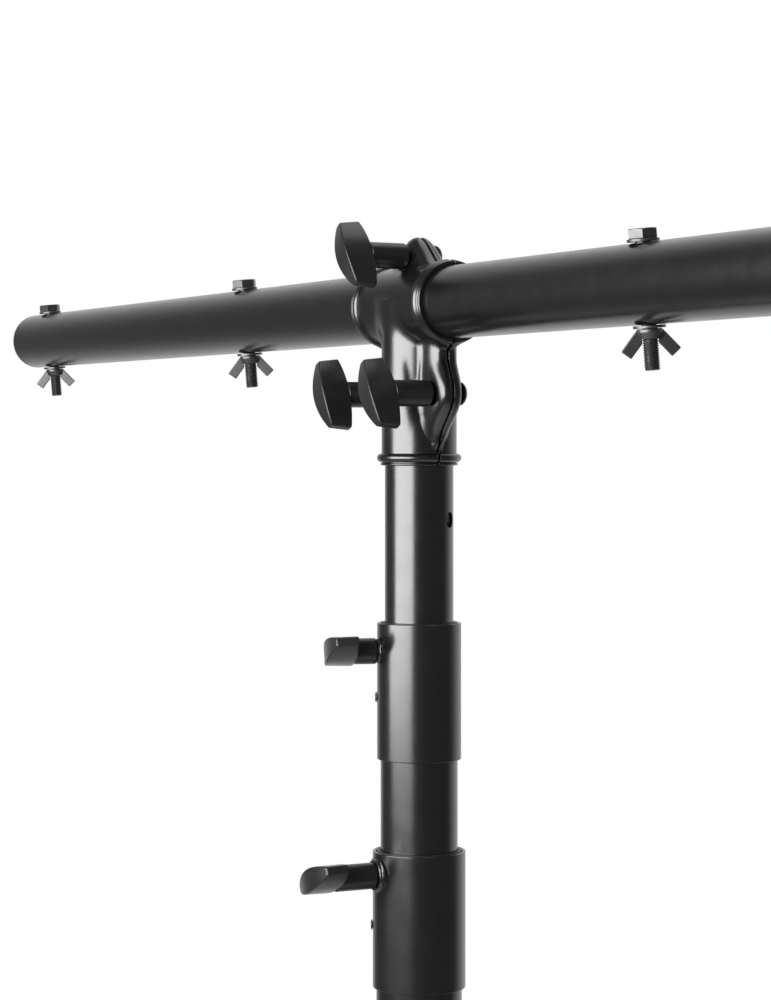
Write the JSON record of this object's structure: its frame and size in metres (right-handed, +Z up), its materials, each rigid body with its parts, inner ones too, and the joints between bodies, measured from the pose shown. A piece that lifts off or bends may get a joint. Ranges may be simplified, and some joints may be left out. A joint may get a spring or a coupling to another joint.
{
  "type": "lighting t bar stand",
  "caption": "Tripod stand with a telescopic tube mast, a pressed T clamp and a round crossbar with through bolts and wing nuts for hanging stage lights.",
  "frame": {"origin": "on the floor, on the mast's axis", "axes": "+Z up along the mast, X along the crossbar, the clamp's knobs towards -Y"},
  "size_m": [1.5036, 1.3034, 1.6183],
  "materials": {
    "tube_paint": "satin black powder coat with a fine orange peel",
    "clamp_paint": "semi-gloss black paint on pressed sheet",
    "knob_plastic": "fine-grained matte black moulded plastic",
    "bush_nylon": "smooth black nylon",
    "moulded_plastic": "matte black moulded plastic",
    "black_zinc": "black zinc plated steel, semi-gloss",
    "foot_rubber": "matte black rubber"
  },
  "bodies": {
    "root": {"base_tube": "tube_paint", "lower_lock_sleeve": "tube_paint", "lower_liner_bush": "bush_nylon", "lower_sleeve_rivet": "black_zinc", "lower_pressure_shoe": "bush_nylon", "base_hub": "moulded_plastic"},
    "second_stage": {"second_tube": "tube_paint", "second_tube_guide": "bush_nylon", "upper_lock_sleeve": "tube_paint", "upper_liner_bush": "bush_nylon", "upper_sleeve_rivet": "black_zinc", "upper_pressure_shoe": "bush_nylon"},
    "top_stage": {"top_tube": "tube_paint", "top_tube_guide": "bush_nylon"},
    "clamp": {"clamp_shell_front": "clamp_paint", "clamp_shell_rear": "clamp_paint", "clamp_bolt_top": "black_zinc", "clamp_bolt_right": "black_zinc", "clamp_bolt_left": "black_zinc"},
    "crossbar": {"crossbar_tube": "tube_paint", "crossbar_cap_left": "moulded_plastic", "crossbar_cap_right": "moulded_plastic", "bar_bolt_1": "black_zinc", "upper_washer_1": "black_zinc", "lower_washer_1": "black_zinc", "bar_bolt_2": "black_zinc", "upper_washer_2": "black_zinc", "lower_washer_2": "black_zinc", "bar_bolt_3": "black_zinc", "upper_washer_3": "black_zinc", "lower_washer_3": "black_zinc", "bar_bolt_4": "black_zinc", "upper_washer_4": "black_zinc", "lower_washer_4": "black_zinc"},
    "top_clamp_knob": {"clamp_knob_top": "knob_plastic"},
    "right_clamp_knob": {"clamp_knob_right": "knob_plastic"},
    "left_clamp_knob": {"clamp_knob_left": "knob_plastic"},
    "upper_lock": {"upper_lock_knob": "knob_plastic", "upper_lock_screw": "black_zinc"},
    "lower_lock": {"lower_lock_knob": "knob_plastic", "lower_lock_screw": "black_zinc"},
    "collar": {"leg_collar": "moulded_plastic", "leg_pin_1": "black_zinc", "leg_pin_2": "black_zinc", "leg_pin_3": "black_zinc"},
    "collar_lock": {"collar_knob": "knob_plastic", "collar_screw": "black_zinc"},
    "nut_1": {"wing_nut_1": "black_zinc"},
    "nut_2": {"wing_nut_2": "black_zinc"},
    "nut_3": {"wing_nut_3": "black_zinc"},
    "nut_4": {"wing_nut_4": "black_zinc"},
    "leg_body_1": {"leg_1": "tube_paint", "foot_1": "foot_rubber"},
    "brace_body_1": {"brace_1": "tube_paint"},
    "leg_body_2": {"leg_2": "tube_paint", "foot_2": "foot_rubber"},
    "brace_body_2": {"brace_2": "tube_paint"},
    "leg_body_3": {"leg_3": "tube_paint", "foot_3": "foot_rubber"},
    "brace_body_3": {"brace_3": "tube_paint"}
  },
  "joints": [
    {"name": "second_slide", "type": "slide", "parent": "root", "child": "second_stage", "axis": [0, 0, 1], "range_m": [-0.06, 0.79]},
    {"name": "top_slide", "type": "slide", "parent": "second_stage", "child": "top_stage", "axis": [0, 0, 1], "range_m": [-0.1, 0.74]},
    {"name": "clamp_swivel", "type": "hinge", "parent": "top_stage", "child": "clamp", "pos_m": [0, 0, 1.5], "axis": [0, 0, 1], "continuous": true},
    {"name": "crossbar_roll", "type": "hinge", "parent": "clamp", "child": "crossbar", "pos_m": [0, 0, 1.56], "axis": [1, 0, 0], "continuous": true},
    {"name": "top_clamp_knob_turn", "type": "hinge", "parent": "clamp", "child": "top_clamp_knob", "pos_m": [0, -0.04, 1.5938], "axis": [0, -1, 0], "range_deg": [0, 540]},
    {"name": "right_clamp_knob_turn", "type": "hinge", "parent": "clamp", "child": "right_clamp_knob", "pos_m": [0.0346, -0.04, 1.4975], "axis": [0, -1, 0], "range_deg": [0, 540]},
    {"name": "left_clamp_knob_turn", "type": "hinge", "parent": "clamp", "child": "left_clamp_knob", "pos_m": [-0.0346, -0.04, 1.4975], "axis": [0, -1, 0], "range_deg": [0, 540]},
    {"name": "upper_lock_turn", "type": "hinge", "parent": "second_stage", "child": "upper_lock", "pos_m": [-0.01578, -0.04744, 1.3181], "axis": [-0.3156, -0.9489, 0], "range_deg": [0, 540]},
    {"name": "lower_lock_turn", "type": "hinge", "parent": "root", "child": "lower_lock", "pos_m": [-0.00227, -0.04995, 1.1629], "axis": [-0.0454, -0.999, 0], "range_deg": [0, 540]},
    {"name": "collar_lock_turn", "type": "hinge", "parent": "collar", "child": "collar_lock", "pos_m": [0.03, -0.05196, 0.541], "axis": [0.5, -0.866, 0], "range_deg": [0, 540]},
    {"name": "wing_nut_1_turn", "type": "hinge", "parent": "crossbar", "child": "nut_1", "pos_m": [-0.713, 0.00239, 1.5327], "axis": [0, 0.0872, -0.9962], "range_deg": [0, 540]},
    {"name": "wing_nut_2_turn", "type": "hinge", "parent": "crossbar", "child": "nut_2", "pos_m": [-0.282, 0.00239, 1.5327], "axis": [0, 0.0872, -0.9962], "range_deg": [0, 540]},
    {"name": "wing_nut_3_turn", "type": "hinge", "parent": "crossbar", "child": "nut_3", "pos_m": [0.282, 0.00239, 1.5327], "axis": [0, 0.0872, -0.9962], "range_deg": [0, 540]},
    {"name": "wing_nut_4_turn", "type": "hinge", "parent": "crossbar", "child": "nut_4", "pos_m": [0.713, 0.00239, 1.5327], "axis": [0, 0.0872, -0.9962], "range_deg": [0, 540]},
    {"name": "collar_slide", "type": "slide", "parent": "root", "child": "collar", "axis": [0, 0, 1], "range_m": [0, 0.2934]},
    {"name": "leg_1_hinge", "type": "hinge", "parent": "collar", "child": "leg_body_1", "pos_m": [0.054, 0, 0.541], "axis": [0, 1, 0], "range_deg": [0, 49.1]},
    {"name": "brace_1_hinge", "type": "hinge", "parent": "root", "child": "brace_body_1", "pos_m": [0.054, 0, 0.0694], "axis": [0, -1, 0], "range_deg": [0, 49.1]},
    {"name": "leg_2_hinge", "type": "hinge", "parent": "collar", "child": "leg_body_2", "pos_m": [-0.027, 0.04677, 0.541], "axis": [-0.866, -0.5, 0], "range_deg": [0, 49.1]},
    {"name": "brace_2_hinge", "type": "hinge", "parent": "root", "child": "brace_body_2", "pos_m": [-0.027, 0.04677, 0.0694], "axis": [0.866, 0.5, 0], "range_deg": [0, 49.1]},
    {"name": "leg_3_hinge", "type": "hinge", "parent": "collar", "child": "leg_body_3", "pos_m": [-0.027, -0.04677, 0.541], "axis": [0.866, -0.5, 0], "range_deg": [0, 49.1]},
    {"name": "brace_3_hinge", "type": "hinge", "parent": "root", "child": "brace_body_3", "pos_m": [-0.027, -0.04677, 0.0694], "axis": [-0.866, 0.5, 0], "range_deg": [0, 49.1]}
  ],
  "couplings": [
    {"joint": "leg_1_hinge", "follows": "collar_slide", "rad_per_m": 2.9148},
    {"joint": "brace_1_hinge", "follows": "collar_slide", "rad_per_m": 2.9148},
    {"joint": "leg_2_hinge", "follows": "collar_slide", "rad_per_m": 2.9148},
    {"joint": "brace_2_hinge", "follows": "collar_slide", "rad_per_m": 2.9148},
    {"joint": "leg_3_hinge", "follows": "collar_slide", "rad_per_m": 2.9148},
    {"joint": "brace_3_hinge", "follows": "collar_slide", "rad_per_m": 2.9148}
  ]
}
